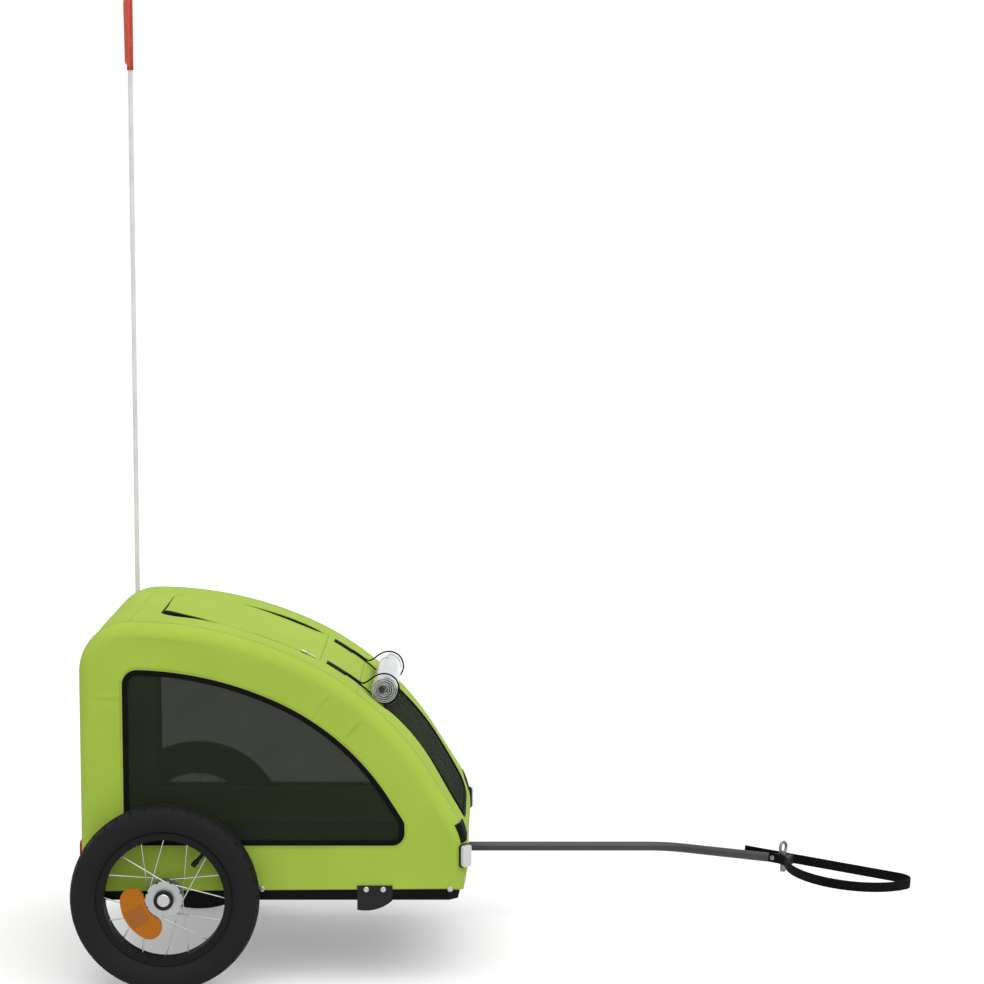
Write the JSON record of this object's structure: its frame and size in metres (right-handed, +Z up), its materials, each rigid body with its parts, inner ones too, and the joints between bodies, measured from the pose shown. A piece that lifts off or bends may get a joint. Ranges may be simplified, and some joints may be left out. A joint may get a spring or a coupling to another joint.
{
  "type": "dog bike trailer",
  "caption": "Two-wheeled dog trailer for towing behind a bicycle: tented green cabin with mesh windows, roof hatch and front door, bent drawbar with hitch pin, and a safety flag",
  "frame": {"origin": "middle of the trailer's bounding box, on the floor under it", "axes": "X forward along the drawbar, Y to the trailer's left, Z up"},
  "size_m": [1.372, 0.5442, 1.645],
  "materials": {
    "frame_paint": "satin black powder coat",
    "bright_steel": "zinc plated",
    "hub_alloy": "satin",
    "rim_paint": "gloss black",
    "tyre_rubber": "moulded, matt",
    "valve_rubber": "matt",
    "black_plastic": "fine grained",
    "green_canvas": "coated woven polyester",
    "black_mesh": "open woven mesh",
    "black_tape": "woven tape",
    "clear_film": "clear flexible film",
    "white_lens": "prismatic",
    "red_lens": "prismatic",
    "amber_lens": "prismatic",
    "drawbar_paint": "grey powder coat",
    "webbing": "flat woven webbing",
    "white_pole": "glass-fibre rod",
    "orange_cloth": "plain woven"
  },
  "bodies": {
    "cabin": {"rail_right": "frame_paint", "rail_left": "frame_paint", "cross_tubes": "frame_paint", "axle_beam": "frame_paint", "axle_sleeves": "bright_steel", "floor_board": "black_plastic", "hoop_right": "frame_paint", "hoop_left": "frame_paint", "hoop_sockets": "frame_paint", "roof_tubes": "frame_paint", "cover_right": "green_canvas", "cover_left": "green_canvas", "cover_rear": "green_canvas", "cover_top": "green_canvas", "cover_front": "green_canvas", "window_right": "black_mesh", "window_left": "black_mesh", "window_bindings": "black_tape", "front_patch": "black_tape", "rain_roll": "clear_film", "roll_tabs": "black_tape", "roll_cords": "black_tape", "side_brackets": "frame_paint", "frame_bolts": "bright_steel", "front_reflectors": "white_lens", "rear_reflectors": "red_lens", "reflector_backs": "black_plastic", "axles": "bright_steel", "drawbar_socket": "frame_paint", "flag_sleeve": "black_plastic"},
    "wheel_right": {"tyre_right": "tyre_rubber", "rim_right": "rim_paint", "hub_right": "hub_alloy", "bearings_right": "bright_steel", "dust_ring_right": "black_plastic", "spokes_right": "bright_steel", "wheel_reflector_right": "amber_lens", "valve_right": "valve_rubber"},
    "wheel_left": {"tyre_left": "tyre_rubber", "rim_left": "rim_paint", "hub_left": "hub_alloy", "bearings_left": "bright_steel", "dust_ring_left": "black_plastic", "spokes_left": "bright_steel", "wheel_reflector_left": "amber_lens", "valve_left": "valve_rubber"},
    "button_right": {"release_button_right": "bright_steel"},
    "button_left": {"release_button_left": "bright_steel"},
    "drawbar": {"drawbar_tube": "drawbar_paint", "drawbar_cap": "black_plastic", "safety_strap": "webbing", "strap_rivets": "bright_steel"},
    "clamp_screw": {"clamp_screw": "bright_steel"},
    "hitch_pin": {"hitch_pin": "bright_steel"},
    "flag": {"flag_pole": "white_pole", "pennant": "orange_cloth"},
    "hatch": {"hatch_flap": "green_canvas", "hatch_zip": "black_tape"},
    "front_door": {"door_mesh": "black_mesh", "door_binding": "black_tape"}
  },
  "joints": [
    {"name": "wheel_right_spin", "type": "hinge", "parent": "cabin", "child": "wheel_right", "pos_m": [-0.536, -0.25, 0.15], "axis": [0, 1, 0], "continuous": true},
    {"name": "wheel_left_spin", "type": "hinge", "parent": "cabin", "child": "wheel_left", "pos_m": [-0.536, 0.25, 0.15], "axis": [0, 1, 0], "continuous": true},
    {"name": "button_right_press", "type": "slide", "parent": "cabin", "child": "button_right", "axis": [0, 1, 0], "range_m": [0, 0.003], "stiffness_N_per_m": 800, "springref_m": -0.004},
    {"name": "button_left_press", "type": "slide", "parent": "cabin", "child": "button_left", "axis": [0, -1, 0], "range_m": [0, 0.003], "stiffness_N_per_m": 800, "springref_m": -0.004},
    {"name": "drawbar_slide", "type": "slide", "parent": "cabin", "child": "drawbar", "axis": [1, 0, 0], "range_m": [0, 0.09]},
    {"name": "clamp_screw_turn", "type": "hinge", "parent": "cabin", "child": "clamp_screw", "pos_m": [-0.11, 0.2055, 0.1], "axis": [0, 0, 1], "range_deg": [0, 360]},
    {"name": "hitch_pin_lift", "type": "slide", "parent": "drawbar", "child": "hitch_pin", "axis": [0, 0, 1], "range_m": [0, 0.045]},
    {"name": "flag_lift", "type": "slide", "parent": "cabin", "child": "flag", "axis": [0, 0, 1], "range_m": [0, 0.11]},
    {"name": "hatch_open", "type": "hinge", "parent": "cabin", "child": "hatch", "pos_m": [-0.296, 0, 0.5084], "axis": [0, 1, 0], "range_deg": [0, 100]},
    {"name": "front_door_open", "type": "hinge", "parent": "cabin", "child": "front_door", "pos_m": [-0.06219, 0, 0.241], "axis": [0, 1, 0], "range_deg": [0, 150]}
  ]
}
